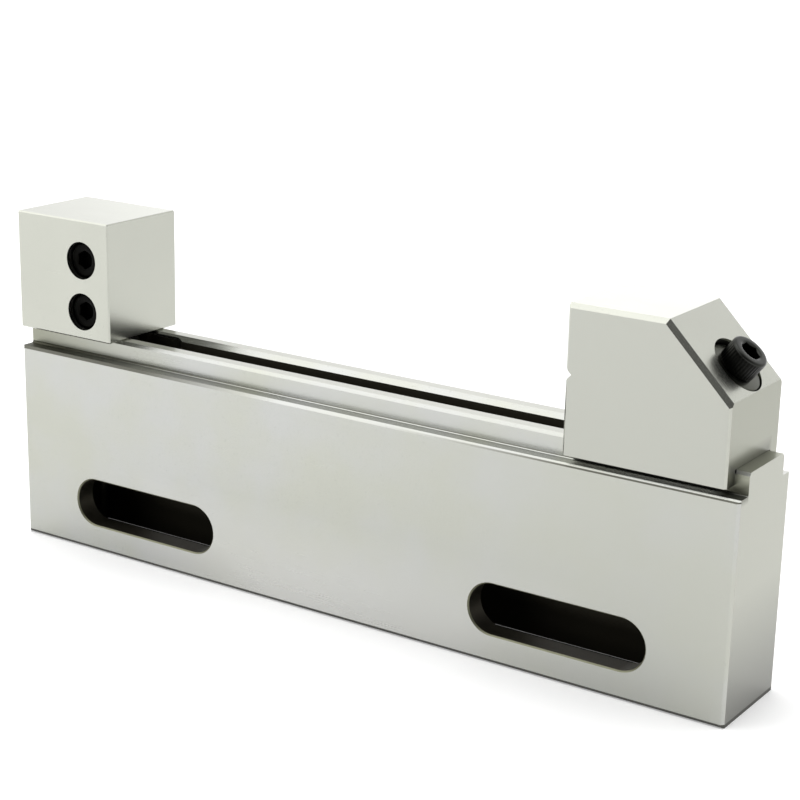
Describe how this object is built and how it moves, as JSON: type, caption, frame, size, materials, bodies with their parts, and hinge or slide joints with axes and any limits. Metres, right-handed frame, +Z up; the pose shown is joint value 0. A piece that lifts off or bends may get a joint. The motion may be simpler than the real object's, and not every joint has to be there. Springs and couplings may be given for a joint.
{
  "type": "EDM vise",
  "caption": "Long narrow stainless vise for wire EDM with a fixed jaw, a movable jaw on a guide rail and a sloping clamp screw.",
  "frame": {"origin": "on the surface the vise stands on, below the middle of the body", "axes": "+X along the body from the fixed jaw to the movable jaw, +Y to the back (away from the fixed jaw's cap screws), +Z up"},
  "size_m": [0.234, 0.0296, 0.1002],
  "materials": {
    "ground_steel": "satin, ground",
    "black_steel": "black oxide",
    "turned_steel": "turned, hardened"
  },
  "bodies": {
    "base": {"body": "ground_steel", "fixed_jaw": "ground_steel", "fixed_jaw_screw_upper": "black_steel", "fixed_jaw_screw_lower": "black_steel", "jaw_anchor": "turned_steel"},
    "jaw": {"movable_jaw": "ground_steel"},
    "rocker": {"ball_washer": "turned_steel"},
    "screw": {"clamp_screw": "black_steel"},
    "bar": {"pull_bar": "turned_steel"}
  },
  "joints": [
    {"name": "jaw_slide", "type": "slide", "parent": "base", "child": "jaw", "axis": [1, 0, 0], "range_m": [-0.15, 0]},
    {"name": "screw_tilt", "type": "hinge", "parent": "jaw", "child": "rocker", "pos_m": [0.10685, 0, 0.08743], "axis": [0, 1, 0], "range_deg": [0, 6.6]},
    {"name": "screw_turn", "type": "hinge", "parent": "rocker", "child": "screw", "pos_m": [0.10685, 0, 0.08743], "axis": [-0.6211, 0, -0.7837], "range_deg": [0, 1800]},
    {"name": "bar_lift", "type": "slide", "parent": "rocker", "child": "bar", "axis": [0.6211, 0, 0.7837], "range_m": [0, 0.005]}
  ],
  "couplings": [
    {"joint": "bar_lift", "follows": "screw_turn", "m_per_rad": 0.00015915}
  ]
}
